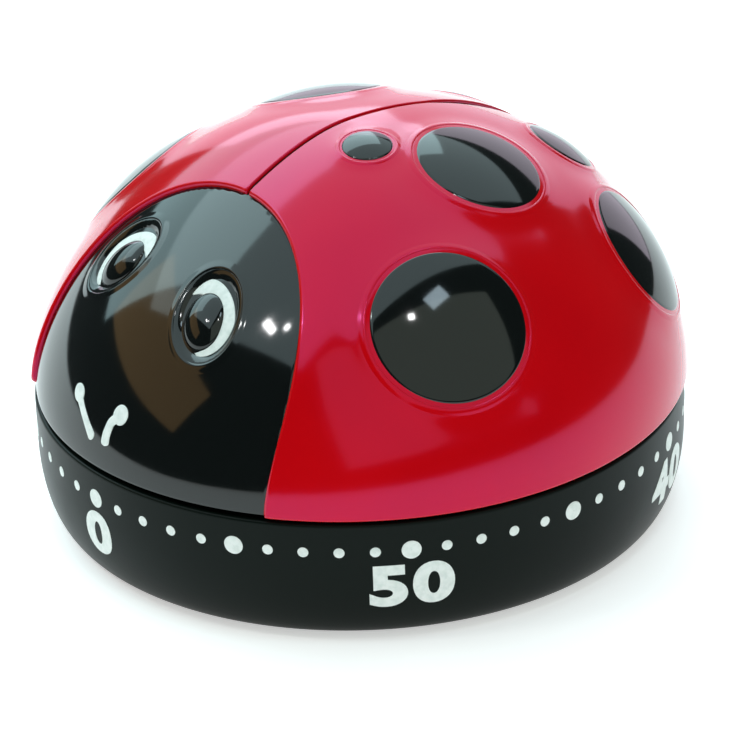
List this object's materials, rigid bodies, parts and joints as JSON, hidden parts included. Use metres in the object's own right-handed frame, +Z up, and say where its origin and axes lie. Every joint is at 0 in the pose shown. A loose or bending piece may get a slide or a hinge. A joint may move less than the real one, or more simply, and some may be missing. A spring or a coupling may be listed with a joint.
{
  "type": "kitchen timer",
  "caption": "Wind-up kitchen timer shaped like a ladybird: a glossy black shell with red spotted wing covers turns on a round black dial base that holds a going train, verge and hammer gong.",
  "frame": {"origin": "on the table, under the middle of the case", "axes": "+Z up along the main arbor; the head and the 0 of the dial face -Y; +X is the left wing's side"},
  "size_m": [0.0768, 0.0761, 0.0474],
  "materials": {
    "shell": "gloss black moulded plastic",
    "wing": "gloss translucent red moulded plastic",
    "ring": "satin black moulded plastic",
    "rubber": "matt",
    "steel": "plain",
    "nickel": "nickel plated",
    "brass": "plain",
    "spring": "blued spring steel"
  },
  "bodies": {
    "cap": {"dome_shell": "shell", "left_wing": "wing", "right_wing": "wing", "main_arbor": "steel", "main_wheel": "brass", "clutch_washer": "steel", "alarm_cam": "brass"},
    "second_train": {"second_arbor": "steel", "second_wheel": "brass", "alarm_star": "steel"},
    "third_train": {"third_arbor": "steel", "third_wheel": "brass"},
    "escape_train": {"escape_arbor": "steel", "escape_wheel": "brass"},
    "verge": {"verge_arbor": "steel", "pallets": "steel", "balance_bar": "brass"},
    "hammer": {"hammer_arbor": "steel", "hammer_arm": "steel", "hammer_head": "brass", "release_lever": "steel", "star_follower": "steel"},
    "base": {"dial_ring": "ring", "base_plate": "ring", "foot_1": "rubber", "foot_2": "rubber", "foot_3": "rubber", "base_screw_1": "steel", "base_screw_2": "steel", "base_screw_3": "steel", "lower_plate": "steel", "upper_plate": "steel", "pillar_1": "steel", "pillar_2": "steel", "pillar_3": "steel", "plate_screw_1": "steel", "plate_screw_2": "steel", "plate_screw_3": "steel", "movement_screw_1": "steel", "movement_screw_2": "steel", "movement_screw_3": "steel", "gong": "nickel", "gong_post": "steel", "gong_screw": "steel", "mainspring": "spring", "hammer_spring": "spring"}
  },
  "joints": [
    {"name": "dial_turn", "type": "hinge", "parent": "base", "child": "cap", "pos_m": [0, 0, 0.0159], "axis": [0, 0, 1], "range_deg": [-360, 0]},
    {"name": "second_spin", "type": "hinge", "parent": "base", "child": "second_train", "pos_m": [0.0154, 0, 0.018], "axis": [0, 0, 1], "range_deg": [0, 3600]},
    {"name": "third_spin", "type": "hinge", "parent": "base", "child": "third_train", "pos_m": [0.01364, 0.00964, 0.018], "axis": [0, 0, 1], "range_deg": [-21600, 0]},
    {"name": "escape_spin", "type": "hinge", "parent": "base", "child": "escape_train", "pos_m": [0.00614, 0.01596, 0.018], "axis": [0, 0, 1], "range_deg": [0, 129600]},
    {"name": "verge_rock", "type": "hinge", "parent": "base", "child": "verge", "pos_m": [0.0007, 0.01789, 0.018], "axis": [0, 0, 1], "range_deg": [-8, 8]},
    {"name": "hammer_swing", "type": "hinge", "parent": "base", "child": "hammer", "pos_m": [0.01442, -0.01127, 0.018], "axis": [0, 0, 1], "range_deg": [0, 4.5], "stiffness_Nm_per_rad": 0.005, "springref_deg": -2.86}
  ],
  "couplings": [
    {"joint": "second_spin", "follows": "dial_turn", "ratio": -10},
    {"joint": "third_spin", "follows": "dial_turn", "ratio": 60},
    {"joint": "escape_spin", "follows": "dial_turn", "ratio": -360}
  ]
}
